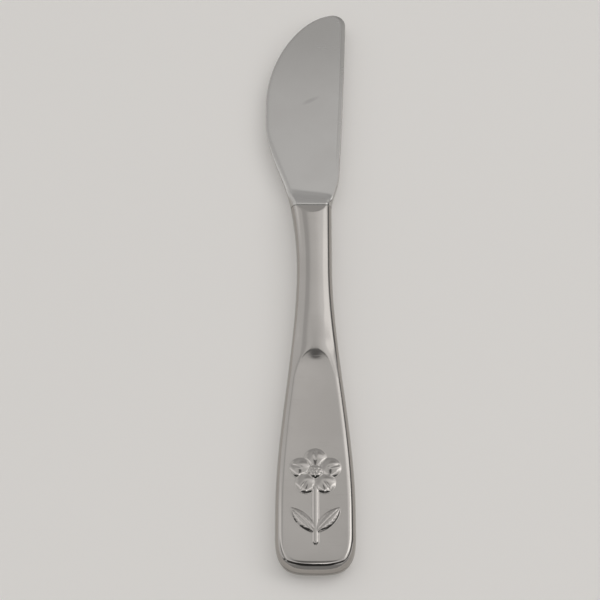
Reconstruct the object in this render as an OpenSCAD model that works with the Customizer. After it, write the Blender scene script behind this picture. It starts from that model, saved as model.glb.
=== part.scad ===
// Butter knife with a hollow handle. The blade is forged in one with its shoulder and tang, and the tang
// is bedded in cement between two pressed half shells that are soldered together round their rims.
// The knife lies on its back on z = 0, with the tip towards +Y, the spine on +X and the ornament side up.

/* [Overall] */
// Length from the butt to the tip
total_len = 169.5; // [160:0.5:185]
// Length of the handle from the butt to its mouth
handle_len = 104.7; // [100:0.1:110]

/* [Handle outline] */
// Greatest width of the handle near the butt
butt_w = 19.3; // [17:0.1:22]
// Length over which the butt rounds off in plan
butt_end_len = 11; // [8:0.5:14]
// Squareness of the butt in plan, 2 is an ellipse
butt_square = 3.2; // [2.4:0.1:3.8]
// Distance from the butt at which the handle begins to narrow
grip_y = 16; // [14:0.5:24]
// Least width of the neck
neck_w = 9; // [8:0.1:11]
// Distance from the butt to the narrowest place of the neck
neck_y = 86; // [80:0.5:94]
// Half width of the handle mouth on the edge side
mouth_edge_w = 6; // [5:0.1:7]
// Half width of the handle mouth on the spine side
mouth_spine_w = 4.5; // [4:0.05:5.5]

/* [Handle section] */
// Depth of the rear shell from the parting plane to the rest face
rear_depth = 2.75; // [2.4:0.05:3.2]
// Height of the front panel over the parting plane
panel_h = 2.5; // [2.2:0.05:2.8]
// Height of the crown of the neck over the parting plane
crown_h = 3.1; // [2.9:0.05:3.6]
// Height over the parting plane of the joint's flat top, to which a facet cuts the crown down
mouth_h = 2.42; // [2.2:0.02:2.8]
// Length of the facet behind the handle mouth
facet_len = 2.5; // [1.5:0.1:4]
// Crown that the flat of the back takes off at the butt
flat_cut = 0.05; // [0.03:0.01:0.15]
// Distance from the butt at which the flat of the back begins to narrow
rear_flat_y = 36; // [30:1:50]
// Length over which the flat of the back runs out
rear_flat_len = 42; // [30:1:45]
// Squareness of the section at the neck, 2 is an ellipse
neck_section = 2.5; // [2:0.1:3.2]
// Wall of the pressed shells
wall = 0.8; // [0.6:0.05:1]

/* [Panel] */
// Distance from the butt to the top of the panel's arch
arch_y = 60.3; // [56:0.1:66]
// Length over which the flat between the borders closes to the arch
arch_len = 7.8; // [6:0.1:12]
// Distance past the arch at which the flat has closed
arch_past = 4; // [1:0.1:6]
// Length of the rise from the panel's height to the crown of the neck
rise_len = 20; // [14:0.5:26]
// Width of the quarter-round border beside the panel
border_w = 2.05; // [1.5:0.05:2.6]
// Squareness of the border's rounding, 2 is a quarter ellipse
border_section = 2; // [1.8:0.1:2.8]
// Hollow of the panel across its width
panel_dish = 0.14; // [0.05:0.01:0.25]
// Length of the hollow ramp at the top of the arch
ramp_len = 5; // [3:0.1:8]
// Height of the hollow ramp at the top of the arch
ramp_h = 0.33; // [0.2:0.01:0.5]

/* [Ornament] */
// Distance from the butt to the middle of the blossom
blossom_y = 26; // [24:0.5:32]
// Number of petals
petals = 5; // [4:1:8]
// Distance of the petals' middles from the blossom's middle
petal_ring = 3.7; // [3:0.1:4.2]
// Radius of a petal
petal_r = 2.75; // [2:0.05:3.2]
// Height of a petal over the panel
petal_h = 0.45; // [0.2:0.05:0.55]
// Radius of the blossom's heart
heart_r = 1.9; // [1.2:0.1:2.6]
// Height of the blossom's heart over the panel
heart_h = 0.55; // [0.3:0.05:0.6]
// Distance from the butt to the foot of the stem
stem_y = 6.5; // [5:0.5:9]
// Width of the stem
stem_w = 1.4; // [0.8:0.1:2]
// Height of the stem over the panel
stem_h = 0.35; // [0.2:0.05:0.5]
// Distance from the butt to the middle of the leaves
leaf_y = 13; // [11:0.5:15]
// Half length of a leaf
leaf_len = 4.4; // [3:0.1:5]
// Half width of a leaf
leaf_w = 1.7; // [1:0.1:2.2]
// Height of a leaf's midrib over the panel
leaf_h = 0.45; // [0.2:0.05:0.55]
// Lean of the leaves away from the stem
leaf_lean = 42; // [25:1:60]

/* [Blade] */
// Greatest distance from the handle axis to the cutting edge
belly_w = 12.75; // [11:0.05:15]
// Distance from the butt at which the heel reaches the full width
heel_y = 132.5; // [126:0.5:136]
// Distance from the butt at which the edge begins to curve to the tip
belly_y = 139.5; // [136:0.5:148]
// Squareness of the curve from the belly to the tip, 2 is an ellipse
belly_square = 1.79; // [1.7:0.01:2.2]
// Half width of the blade on the spine side at the end of the shoulder
spine_heel_w = 6.6; // [5.5:0.05:7.5]
// Half width of the blade on the spine side at the tip
spine_tip_w = 8.65; // [7.5:0.05:9.5]
// Rise of the spine over a straight line
spine_bow = 0.16; // [0:0.02:0.4]
// Radius of the tip where the edge meets the spine
tip_r = 3.5; // [1.5:0.1:4.5]
// Thickness of the spine at the end of the shoulder
spine_root_t = 2.2; // [1.8:0.05:2.8]
// Thickness of the spine at the tip
spine_tip_t = 1.2; // [0.9:0.05:1.6]
// Thickness behind the cutting edge at the belly
edge_t = 0.5; // [0.35:0.05:0.8]
// Width of the bevel along the cutting edge
edge_bevel_w = 0.5; // [0.3:0.05:1]
// Width of the bevel at the root of the heel
heel_bevel_w = 1.65; // [1:0.05:2.4]
// Distance from the butt at which the heel's bevel begins to narrow
heel_bevel_y = 121; // [114:0.5:124]
// Width of the bevel along the spine
spine_bevel_w = 1; // [0.5:0.05:1.5]
// Length past the shoulder over which the bevel along the spine grows
spine_bevel_len = 12; // [8:0.5:20]

/* [Shoulder and tang] */
// Length of the level ledge in front of the joint
collar_len = 0.5; // [0.3:0.05:1]
// Length of the ramp from the ledge to the face on the edge side
ramp_edge_len = 6.6; // [5:0.1:8]
// Length of the ramp from the ledge to the face on the spine side
ramp_spine_len = 4.2; // [3:0.1:5.5]
// Length of the shoulder on the spine side
shoulder_len = 10.5; // [9:0.5:14]
// Length of the tang in the handle
tang_len = 42; // [30:1:55]
// Width of the tang at the shoulder
tang_w = 4.4; // [3.4:0.1:5]
// Width of the tang at its end
tang_end_w = 3.2; // [2.6:0.1:4]
// Thickness of the tang
tang_t = 2.2; // [1.6:0.05:2.6]
// Diameter of the grip notches in the sides of the tang
notch_d = 1.6; // [1:0.1:2]

/* [Solder] */
// Thickness of the solder between the shell rims
seam_t = 0.15; // [0.1:0.01:0.2]
// Thickness of the solder at the handle mouth
mouth_t = 0.2; // [0.1:0.02:0.3]

/* [Hidden] */

steel = [0.71, 0.71, 0.7];
bright_steel = [0.76, 0.76, 0.75];
cement = [0.6, 0.57, 0.5];
solder = [0.58, 0.58, 0.56];

mid_z = rear_depth;
origin_y = arch_y / 2;
panel_z = mid_z + from_rim(panel_h - panel_dish, crown_h);
arch_start = arch_y - arch_len;
root_y = handle_len + mouth_t;
ridge_y = root_y + collar_len;
tip_len = total_len - belly_y;
tip_angle = 89;
// Share of the butt's half width at the corners where the end row meets the sides
corner = 0.78;
// Distance from the butt at which the curved rows have become straight
bow_len = 16;
// Shares of the half width inside the border at which the columns stand
levels = [0.3, 0.6, 0.85, 1];
border_columns = 6;
// Least share of a row's half width that the columns inside the panel take
least_panel = 0.4;
// Bend of the ramp's foot beside the middle, per square millimetre
ramp_bow = 0.02;
// Squareness of the hollow at the butt
hollow_section = 5.5;
// Squareness of the hollow's end at the butt
nose_square = 2.4;
// Length over which the hollow rounds down at the butt
nose_len = 2.8;
// Shares of the full thickness that remain at the bevelled rims of the blade
edge_rim = 0.35;
spine_rim = 0.5;
// Least half thickness of the blade
least_half = 0.12;

function mix(a, b, t) = a + (b - a) * t;
function clamp01(t) = min(1, max(0, t));
function smooth(t) = let (u = clamp01(t)) u * u * (3 - 2 * u);
// Cubic between a and b with the end tangents ma and mb
function cubic(a, b, ma, mb, t) =
    (1 - 3 * t * t + 2 * t * t * t) * a + (3 * t * t - 2 * t * t * t) * b
    + t * (1 - t) * (1 - t) * ma - t * t * (1 - t) * mb;
// Height of a superellipse section of unit size at the fraction s of its half width
function section(s, n) = pow(max(0, 1 - pow(abs(s), n)), 1 / n);

// Half width of the handle up to the neck, from the distance to the butt
function grip_w(y) =
    y < butt_end_len
    ? butt_w / 2 * section(1 - y / butt_end_len, butt_square)
    : mix(butt_w / 2, neck_w / 2, smooth((y - grip_y) / (neck_y - grip_y)));
function mouth_w(side) = side < 0 ? mouth_edge_w : mouth_spine_w;
// Half width of the handle on one side, flaring from the neck to the mouth
function handle_w(y, side) =
    y < neck_y
    ? grip_w(y)
    : neck_w / 2 + (mouth_w(side) - neck_w / 2) * pow((y - neck_y) / (handle_len - neck_y), 2);
// Slope of the flare where it reaches the mouth
function mouth_slope(side) = 2 * (mouth_w(side) - neck_w / 2) / (handle_len - neck_y);

// Curve of a row near the butt: its set-back from the row's middle at the fraction s of its half width
function set_back(v, s) =
    butt_end_len * (1 - section(corner * s, butt_square)) * pow(clamp01(1 - v / bow_len), 2);
// Half width of the row that starts at the distance v from the butt
function row_w(v, side) = handle_w(v + set_back(v, 1), side);

// Distances of the rows from the butt
rows = concat(
    [for (i = [0:6]) border_w * (1 - cos(90 * i / 6))],
    [for (i = [1:11]) mix(border_w, arch_start, i / 11)],
    [for (i = [1:9]) arch_start + arch_len * sin(90 * i / 9)],
    [for (i = [1:10]) mix(arch_y, handle_len - facet_len, pow(i / 10, 1.5))],
    [for (i = [1:4]) handle_len - facet_len * (1 - i / 4)]
);

// Half width of the panel, and of the rows' middle columns where the butt leaves no room for it
function panel_w(v) = max(row_w(v, 1) - border_w, least_panel * row_w(v, 1));
// Squareness of the outer section, from the border's rounding to the neck
function squareness(v) = mix(border_section, neck_section, smooth((v - arch_start) / rise_len));
// Half width of the flat between the borders, which closes at the arch
function front_flat(v) = panel_w(v) * (1 - smooth((v - arch_start) / (arch_len + arch_past)));
function rear_flat(v) = panel_w(v) * (1 - smooth((v - rear_flat_y) / rear_flat_len));
function nose(v) = section(clamp01(1 - v / border_w), border_section);
function front_crown(v) = mix(panel_h, crown_h, smooth((v - arch_start) / rise_len));
function rear_crown(v) = rear_depth + flat_cut * (1 - smooth((v - rear_flat_y) / rear_flat_len));
// Height of the ramp at the end of the panel
function ramp(v, x) = ramp_h * pow(max(0, v - arch_y + ramp_len + ramp_bow * x * x) / ramp_len, 3);
// Height of the facet that slopes down to the mouth
function facet_h(v) = mouth_h + (crown_h - mouth_h) / facet_len * (handle_len - v);

// Line where the panel meets the rounding beside it
function crease_x(v) =
    let (flat = front_flat(v), n = squareness(v), low = min(1, (panel_h + ramp(v, flat)) / front_crown(v)))
    mix(flat, row_w(v, 1), pow(1 - pow(low, n), 1 / n));
// Position of a column inside the border: it follows the panel's edge and spreads out again on the neck
function level_x(v, level) =
    level * mix(crease_x(v), panel_w(v), smooth((v - arch_y + ramp_len) / rise_len));
function border_x(v, side, k) =
    mix(level_x(v, 1), row_w(v, side), sin(90 * k / border_columns));
// Positions of all columns of a row from the edge side to the spine side
function columns(v) = concat(
    [for (k = [border_columns:-1:1]) -border_x(v, -1, k)],
    [for (k = [len(levels) - 1:-1:0]) -level_x(v, levels[k])],
    [0],
    [for (level = levels) level_x(v, level)],
    [for (k = [1:border_columns]) border_x(v, 1, k)]
);

// Share of the way from the flat to the rim at a point, measured from the middle of both rims
function flat_share(v, x, flat) =
    let (left = row_w(v, -1), right = row_w(v, 1), half = (left + right) / 2)
    clamp01((abs(x - (right - left) / 2) - flat) / (half - flat));
// The lower of the border, which grows into the neck's dome, and the panel with its ramp, cut by the facet
function front_height(v, x) =
    let (
        body = front_crown(v) * section(flat_share(v, x, front_flat(v)), squareness(v)),
        dish = panel_dish * clamp01(1 - pow(x / panel_w(v), 2)) * smooth(v / (2 * border_w) - 0.5)
    )
    min(min(body, panel_h - dish + ramp(v, x)) * nose(v), facet_h(v));
function rear_height(v, x) =
    rear_crown(v) * section(flat_share(v, x, rear_flat(v)), squareness(v)) * nose(v);

// Squareness, height and rounded end of the hollow
function hollow_square(v) = mix(hollow_section, neck_section, smooth((v - grip_y) / (neck_y - grip_y)));
function hollow_nose(v) = section(clamp01(1 - (v - wall) / nose_len), nose_square);
function front_inside(v) =
    min(mix(panel_h - panel_dish, crown_h, smooth((v - arch_y) / rise_len)), facet_h(v)) - wall;
function front_hollow(v, s) = front_inside(v) * section(s, hollow_square(v)) * hollow_nose(v);
function rear_hollow(v, s) = (rear_depth - wall) * section(s, hollow_square(v)) * hollow_nose(v);

function side_of(x) = x < 0 ? -1 : 1;
// Height over the parting plane, measured from the rim that the solder leaves
function from_rim(height, top) = seam_t / 2 + height * (1 - seam_t / 2 / top);
// Points of the outer surfaces: up is 1 for the front and -1 for the back
function outer_row(v, up) = [
    for (x = columns(v))
    let (
        s = x / row_w(v, side_of(x)),
        height = up > 0
            ? from_rim(front_height(v, x), crown_h)
            : from_rim(rear_height(v, x), rear_depth)
    )
    [x, v + set_back(v, s), mid_z + up * height]
];
// Points of the hollow, one wall inside the outer surfaces
function inner_row(v, up) =
    let (w = mix(wall, handle_len, v / handle_len))
    [
        for (x = columns(v))
        let (
            side = side_of(x),
            s = x / row_w(v, side),
            height = up > 0
                ? from_rim(front_hollow(w, s), crown_h)
                : from_rim(rear_hollow(w, s), rear_depth)
        )
        [s * (row_w(w, side) - wall), w + set_back(w, s), mid_z + up * height]
    ];
front_outer = [for (v = rows) outer_row(v, 1)];
rear_outer = [for (v = rows) outer_row(v, -1)];
front_inner = [for (v = rows) inner_row(v, 1)];
rear_inner = [for (v = rows) inner_row(v, -1)];

// Points along the rim of a grid, from the mouth on the edge side round the butt to the spine side
function rim(grid) = concat(
    [for (i = [len(grid) - 1:-1:1]) grid[i][0]],
    grid[0],
    [for (i = [1:len(grid) - 1]) grid[i][len(grid[i]) - 1]]
);
function at_z(p, z) = [p.x, p.y, z];
// Strip along the rims at the height z
function rim_strip(z) =
    let (outside = rim(front_outer), inside = rim(front_inner))
    [for (i = [0:len(outside) - 1]) [at_z(inside[i], z), at_z(outside[i], z)]];
// Outline of the mouth in the section plane
function mouth_outline() =
    let (last = len(rows) - 1, n = len(front_outer[last]))
    concat(
        [for (p = front_outer[last]) [p.x, p.z]],
        [for (j = [n - 1:-1:0]) [rear_outer[last][j].x, rear_outer[last][j].z]]
    );

// Distance from the handle axis to the cutting edge
function edge_w(y) =
    let (heel_len = heel_y - handle_len)
    y < heel_y
    ? cubic(mouth_edge_w, belly_w, mouth_slope(-1) * heel_len, 0, (y - handle_len) / heel_len)
    : y < belly_y
    ? belly_w
    : belly_w - (belly_w + spine_tip_w - tip_r) * (1 - section((y - belly_y) / tip_len, belly_square));
// Distance from the handle axis to the spine
function spine_w(y) =
    let (
        shoulder_y = handle_len + shoulder_len,
        corner_y = total_len - tip_r,
        spine_slope = (spine_tip_w - spine_heel_w + 4 * spine_bow) / (corner_y - shoulder_y),
        in_tangent = mouth_slope(1) * shoulder_len,
        out_tangent = spine_slope * shoulder_len,
        t = (y - shoulder_y) / (corner_y - shoulder_y)
    )
    y < shoulder_y
    ? cubic(mouth_spine_w, spine_heel_w, in_tangent, out_tangent, (y - handle_len) / shoulder_len)
    : y < corner_y
    ? mix(spine_heel_w, spine_tip_w, t) + spine_bow * 4 * t * (1 - t)
    : spine_tip_w - tip_r + sqrt(max(0, tip_r * tip_r - pow(y - corner_y, 2)));

// Plane of the blade's face over the mid plane, through the spine's two thicknesses and the edge's
face_points = [
    [spine_heel_w, handle_len + shoulder_len, spine_root_t / 2],
    [spine_tip_w, total_len - tip_r, spine_tip_t / 2],
    [-belly_w, belly_y, edge_t / 2]
];
face_normal = cross(face_points[1] - face_points[0], face_points[2] - face_points[0]);
function face_height(x, y) =
    let (p = face_points[0], n = face_normal)
    max(least_half, p.z - (n.x * (x - p.x) + n.y * (y - p.y)) / n.z);
function edge_bevel(y) =
    mix(heel_bevel_w, edge_bevel_w, smooth((y - heel_bevel_y) / (heel_y - heel_bevel_y)));
function spine_share(y) =
    mix(1, spine_rim, smooth((y - handle_len - shoulder_len) / spine_bevel_len));
// Share of the full thickness at the distance d from a rim with a bevel
function bevel(d, width, rim_share) = mix(rim_share, 1, clamp01(d / width));

// Distances of the blade's rows from the butt
blade_rows = concat(
    [root_y, ridge_y],
    [for (i = [1:7]) ridge_y + ramp_edge_len * i / 7],
    [for (i = [1:6]) mix(ridge_y + ramp_edge_len, belly_y, i / 6)],
    [for (i = [1:14]) belly_y + tip_len * sin(tip_angle * i / 14)]
);
// Positions of the blade's columns, with the bevels at both rims
function blade_columns(y) =
    let (
        left = -edge_w(y),
        right = spine_w(y),
        width = right - left,
        a = min(edge_bevel(y), 0.2 * width),
        b = min(spine_bevel_w, 0.2 * width)
    )
    concat(
        [left, left + a / 3, left + a],
        [for (i = [1:7]) mix(left + a, right - b, i / 8)],
        [right - b, right - b / 3, right]
    );
// Height of the shoulder, which goes on from the handle mouth with a flat top on the front
function shoulder_height(x, y, up) =
    let (
        middle = (spine_w(y) - edge_w(y)) / 2,
        half = (spine_w(y) + edge_w(y)) / 2,
        share = section((x - middle) / half, neck_section)
    )
    up > 0 ? from_rim(min(crown_h * share, mouth_h), crown_h) : from_rim(rear_depth * share, rear_depth);
// Height of the blade over its mid plane: the shoulder runs out to the bevelled face along a soft ramp
function blade_height(x, y, up) =
    let (
        across = (x + edge_w(y)) / (spine_w(y) + edge_w(y)),
        t = clamp01((y - ridge_y) / mix(ramp_edge_len, ramp_spine_len, across)),
        face = face_height(x, y)
            * bevel(x + edge_w(y), edge_bevel(y), edge_rim)
            * bevel(spine_w(y) - x, spine_bevel_w, spine_share(y))
    )
    mix(face, shoulder_height(x, y, up), pow(1 - t, 3) * (1 + 3 * t));
function blade_grid(up) = [
    for (y = blade_rows) [
        for (x = blade_columns(y))
        [x, y, mid_z + up * blade_height(x, y, up)]
    ]
];

// Closed solid between an upper and a lower grid of points, rows run towards +Y and columns towards +X
module skin(upper, lower) {
    n = len(upper[0]);
    last = len(upper) - 1;
    count = n * len(upper);
    function u(i, j) = i * n + j;
    function l(i, j) = count + i * n + j;
    function quad(a, b, c, d) = [[a, b, c], [a, c, d]];
    faces = [
        for (i = [0:last - 1], j = [0:n - 2]) each concat(
            quad(u(i, j), u(i + 1, j), u(i + 1, j + 1), u(i, j + 1)),
            [[l(i, j), l(i + 1, j + 1), l(i + 1, j)], [l(i, j), l(i, j + 1), l(i + 1, j + 1)]]
        ),
        for (i = [0:last - 1]) each concat(
            quad(u(i + 1, 0), u(i, 0), l(i, 0), l(i + 1, 0)),
            quad(u(i, n - 1), u(i + 1, n - 1), l(i + 1, n - 1), l(i, n - 1))
        ),
        for (j = [0:n - 2]) each concat(
            quad(u(0, j), u(0, j + 1), l(0, j + 1), l(0, j)),
            quad(u(last, j + 1), u(last, j), l(last, j), l(last, j + 1))
        )
    ];
    polyhedron(concat([for (row = upper) each row], [for (row = lower) each row]), faces);
}

// The handle axis at the rest face under the middle of the panel is the origin
module placed() {
    translate([0, -origin_y, 0])
        children();
}

// Flat tang with notches in its sides, running into the shoulder
module tang() {
    end_y = handle_len - tang_len;
    translate([0, 0, mid_z - tang_t / 2])
        difference() {
            linear_extrude(tang_t)
                polygon([
                    [-tang_w / 2, ridge_y],
                    [tang_w / 2, ridge_y],
                    [tang_w / 2, handle_len],
                    [tang_end_w / 2, end_y],
                    [-tang_end_w / 2, end_y],
                    [-tang_w / 2, handle_len]
                ]);
            for (share = [0.4, 0.75], side = [-1, 1])
                translate([side * mix(tang_w, tang_end_w, share) / 2, handle_len - share * tang_len, -1])
                    cylinder(d = notch_d, h = tang_t + 2, $fn = 48);
        }
}

module blade() {
    color(bright_steel)
        placed()
        union() {
            skin(blade_grid(1), blade_grid(-1));
            tang();
        }
}

// Slab over the panel that keeps the raised forms from reaching through the wall
module over_panel() {
    translate([-butt_w / 2, 0, panel_z - wall / 2])
        cube([butt_w, arch_y, wall + crown_h]);
}

// Domed boss of the radius r and the height h on the panel
module boss(r, h) {
    big = (r * r + h * h) / (2 * h);
    translate([0, 0, panel_z + h - big])
        sphere(big, $fn = 96);
}

// Pointed leaf with a midrib: the space that two leaning domes share
module leaf() {
    reach = (leaf_len * leaf_len / leaf_w - leaf_w) / 2;
    drop = (leaf_len * leaf_len - leaf_h * leaf_h) / (2 * leaf_h);
    big = norm([leaf_w + reach, drop]);
    intersection() {
        translate([-reach, 0, panel_z - drop])
            rotate(180)
            sphere(big, $fn = 96);
        translate([reach, 0, panel_z - drop])
            sphere(big, $fn = 96);
    }
}

// Blossom on a stem with two leaves
module ornament() {
    stem_big = (stem_w * stem_w / 4 + stem_h * stem_h) / (2 * stem_h);
    intersection() {
        over_panel();
        union() {
            for (i = [0:petals - 1])
                translate([0, blossom_y, 0])
                    rotate(90 + 360 * i / petals)
                    translate([petal_ring, 0, 0])
                    boss(petal_r, petal_h);
            translate([0, blossom_y, 0])
                boss(heart_r, heart_h);
            translate([0, stem_y, panel_z + stem_h - stem_big])
                rotate([-90, 0, 0])
                cylinder(r = stem_big, h = blossom_y - petal_ring - stem_y, $fn = 48);
            for (side = [-1, 1])
                translate([side * leaf_len * sin(leaf_lean), leaf_y, 0])
                    rotate(-side * leaf_lean)
                    leaf();
        }
    }
}

module front_handle_shell() {
    color(steel)
        placed()
        union() {
            skin(front_outer, front_inner);
            ornament();
        }
}

// The back is flat where the crown would pass below the rest face
module rear_handle_shell() {
    color(steel)
        placed()
        difference() {
            skin(rear_inner, rear_outer);
            translate([-butt_w, -1, -rear_depth])
                cube([2 * butt_w, handle_len, rear_depth]);
        }
}

module handle_cement() {
    color(cement)
        placed()
        difference() {
            skin(front_inner, rear_inner);
            tang();
        }
}

module seam_solder() {
    color(solder)
        placed()
        skin(rim_strip(mid_z + seam_t / 2), rim_strip(mid_z - seam_t / 2));
}

module mouth_solder() {
    color(solder)
        placed()
        difference() {
            translate([0, root_y, 0])
                rotate([90, 0, 0])
                linear_extrude(mouth_t)
                polygon(mouth_outline());
            tang();
        }
}

blade();
front_handle_shell();
rear_handle_shell();
handle_cement();
seam_solder();
mouth_solder();
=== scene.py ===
import math

import bpy
import numpy as np
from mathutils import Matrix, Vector


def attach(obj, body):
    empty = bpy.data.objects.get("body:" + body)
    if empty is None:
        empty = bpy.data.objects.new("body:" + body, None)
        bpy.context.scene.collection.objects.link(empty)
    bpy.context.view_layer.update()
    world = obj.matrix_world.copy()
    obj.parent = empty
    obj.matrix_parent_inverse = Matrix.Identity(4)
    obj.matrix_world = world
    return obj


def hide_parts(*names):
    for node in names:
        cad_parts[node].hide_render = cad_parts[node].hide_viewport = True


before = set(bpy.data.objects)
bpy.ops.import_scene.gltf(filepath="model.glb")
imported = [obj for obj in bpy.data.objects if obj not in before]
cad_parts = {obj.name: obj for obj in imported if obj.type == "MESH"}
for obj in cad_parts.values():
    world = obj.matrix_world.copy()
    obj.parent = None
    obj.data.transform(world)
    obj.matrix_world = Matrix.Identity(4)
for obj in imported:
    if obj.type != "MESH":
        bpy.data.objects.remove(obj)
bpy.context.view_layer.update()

scene = bpy.context.scene
scene.view_settings.view_transform = "Standard"
print("frame loaded:", ", ".join(sorted(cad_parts)))

# All forms are worked out in millimetres, y is the distance from the butt and z the height over the table.
handleForm = {
    "length": 104.7,        # butt to mouth
    "originAt": 30.15,      # the frame's origin, from the butt
    "midHeight": 2.75,      # parting plane of the two shells
    "buttWidth": 19.3,
    "buttEnd": 11.0,        # length over which the butt rounds off in plan
    "buttSquare": 3.2,
    "gripStart": 16.0,      # from here the grip narrows
    "neckWidth": 9.0,
    "neckAt": 86.0,
    "mouthEdge": 6.0,       # half widths of the mouth
    "mouthSpine": 4.5,
    "corner": 0.78,         # share of the half width where the end row meets the sides
    "bowLength": 16.0,      # from here the rows are straight
    "cornerSquare": 0.55,   # 0 for the roundest corners of the panel, 1 for square ones
    "archTop": 60.3,
    "archStart": 52.5,      # here the flat between the borders begins to close and the crown to rise
    "borderWidth": 2.05,    # quarter round beside the panel
    "leastPanel": 0.4,
    "borderSquare": 2.0,
    "neckSquare": 2.5,
    "neckFull": 72.5,       # from here the section is the neck's
    "wall": 0.8,
    "hollowSquare": 5.5,    # section of the hollow under the panel
    "hollowEnd": 2.8,       # length over which the hollow rounds off at the butt
    "hollowEndSquare": 2.4,
    "seam": 0.15,           # solder between the rims
}


def mix(a, b, t):
    # a and the share t of the way on to b
    return a + (b - a) * t


def clamp01(t):
    # t held between 0 and 1
    return np.clip(t, 0.0, 1.0)


def smooth(t):
    # 3u^2 - 2u^3 of the share u between 0 and 1
    u = clamp01(t)
    return u * u * (3 - 2 * u)


def section(s, n):
    # superellipse: (1 - |s|^n)^(1/n) at the share s of the half width
    return np.maximum(0.0, 1 - np.abs(s) ** n) ** (1 / n)


def softMax(a, b, r):
    # half the sum plus half the root of the squared difference and r squared: a maximum with a round crease
    return 0.5 * (a + b + np.sqrt((a - b) ** 2 + r * r)) - 0.5 * r


def softMin(a, b, r):
    # half the sum less half the same root: a minimum with a round crease
    return 0.5 * (a + b - np.sqrt((a - b) ** 2 + r * r))


def cubic(a, b, slopeA, slopeB, t):
    # Hermite cubic from a to b with the end tangents slopeA and slopeB
    u = 1 - t
    return (1 + 2 * t) * u * u * a + t * t * (3 - 2 * t) * b + t * u * u * slopeA - t * t * u * slopeB


def gripWidth(y, form=handleForm):
    # half width: a superelliptic end, then a smooth step from the butt's width to the neck's
    half = form["buttWidth"] / 2
    butt = half * section(1 - np.minimum(y, form["buttEnd"]) / form["buttEnd"], form["buttSquare"])
    share = smooth((y - form["gripStart"]) / (form["neckAt"] - form["gripStart"]))
    return np.where(y < form["buttEnd"], butt, mix(half, form["neckWidth"] / 2, share))


def handleWidth(y, side, form=handleForm):
    # the grip's half width, with a quadratic flare from the neck to the mouth on each side
    mouth = np.where(side < 0, form["mouthEdge"], form["mouthSpine"])
    run = np.maximum(0.0, (y - form["neckAt"]) / (form["length"] - form["neckAt"]))
    return gripWidth(np.minimum(y, form["neckAt"])) + (mouth - form["neckWidth"] / 2) * run ** 2


def setBack(v, s, form=handleForm):
    # a row bends back from its middle as the butt's end does, fading out along the bow length
    bend = form["buttEnd"] * (1 - section(form["corner"] * s, form["buttSquare"]))
    return bend * clamp01(1 - v / form["bowLength"]) ** 2


def rowWidth(v, side):
    # half width at the end of a bent row, which lies further from the butt than its middle
    return handleWidth(v + setBack(v, 1.0), side)


def panelWidth(v, form=handleForm):
    # half width of the panel, inside the quarter round
    wide = rowWidth(v, 1.0)
    return np.maximum(wide - form["borderWidth"], form["leastPanel"] * wide)


def buttDistance(x, y, form=handleForm):
    # distance in from the butt's outline: 1 less the superellipse's gauge, over the gauge's slope
    n, half, end = form["buttSquare"], form["buttWidth"] / 2, form["buttEnd"]
    across = np.abs(x) / half
    along = clamp01(1 - y / end)
    gauge = np.maximum((across ** n + along ** n) ** (1 / n), 1e-6)
    slope = np.hypot((across / gauge) ** (n - 1) / half, (along / gauge) ** (n - 1) / end)
    return (1 - gauge) / slope


def neckShare(v, form=handleForm):
    # 0 on the grip, 1 on the neck
    return smooth((v - form["archStart"]) / (form["neckFull"] - form["archStart"]))


def squareness(v, form=handleForm):
    # power of the section, from the border's to the neck's
    return mix(form["borderSquare"], form["neckSquare"], neckShare(v))


def steps(start, end, count):
    # even steps that leave out the end
    return np.linspace(start, end, count, endpoint=False)


def skin(upper, lower):
    # closed surface between two grids of points: both sheets and the four strips that join their borders
    rows, cols = upper.shape[:2]
    up = np.arange(rows * cols).reshape(rows, cols)
    low = up + rows * cols

    def sheet(a):
        return np.stack([a[:-1, :-1], a[:-1, 1:], a[1:, 1:], a[1:, :-1]], -1).reshape(-1, 4)

    def strip(a, b):
        return np.stack([a[:-1], b[:-1], b[1:], a[1:]], -1)

    quads = np.concatenate([
        sheet(up),
        sheet(low)[:, ::-1],
        strip(up[:, 0], low[:, 0])[:, ::-1],
        strip(up[:, -1], low[:, -1]),
        strip(up[0], low[0]),
        strip(up[-1], low[-1])[:, ::-1],
    ])
    return np.concatenate([upper.reshape(-1, 3), lower.reshape(-1, 3)]), quads


def weld(points, quads):
    # points in the same place become one, quads that lose a side become triangles
    kept, place = np.unique(np.round(points, 5), axis=0, return_inverse=True)
    quads = place.reshape(-1)[quads]
    lost = quads == np.roll(quads, -1, axis=1)
    whole = quads[lost.sum(1) == 0]
    thin = lost.sum(1) == 1
    triangles = quads[thin][~lost[thin]].reshape(-1, 3)
    return kept, whole.tolist() + triangles.tolist()


def makePiece(name, node, points, quads, sharpAngle=35.0, form=handleForm):
    # millimetres from the butt become metres in the frame, and the piece stands for its CAD node
    corners, faces = weld(points, quads)
    corners = (corners - np.array([0.0, form["originAt"], 0.0])) * 0.001
    mesh = bpy.data.meshes.new(name)
    mesh.from_pydata(corners.tolist(), [], faces)
    mesh.polygons.foreach_set("use_smooth", np.ones(len(mesh.polygons), dtype=bool))
    mesh.set_sharp_from_angle(angle=math.radians(sharpAngle))
    mesh.validate()
    piece = bpy.data.objects.new(name, mesh)
    scene.collection.objects.link(piece)
    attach(piece, "root")
    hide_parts(node)
    print(name, len(corners), "points,", len(faces), "faces")
    return piece


# columns and rows that the shells share
shellGrid = {
    "panelColumns": 56,     # on each half of the panel
    "borderColumns": 24,
    "panelEase": 1.2,       # crowds the columns towards the panel's edge
    "roundRows": 18,        # over the butt's round
    "rowSpans": ((5.0, 16), (34.0, 176), (48.0, 28), (56.5, 50), (61.4, 62), (100.5, 56)),
    "mouthRows": 40,
    "leastRows": 4,
}
plainGrid = {**shellGrid, "panelColumns": 26}   # for forms with no relief


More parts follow.
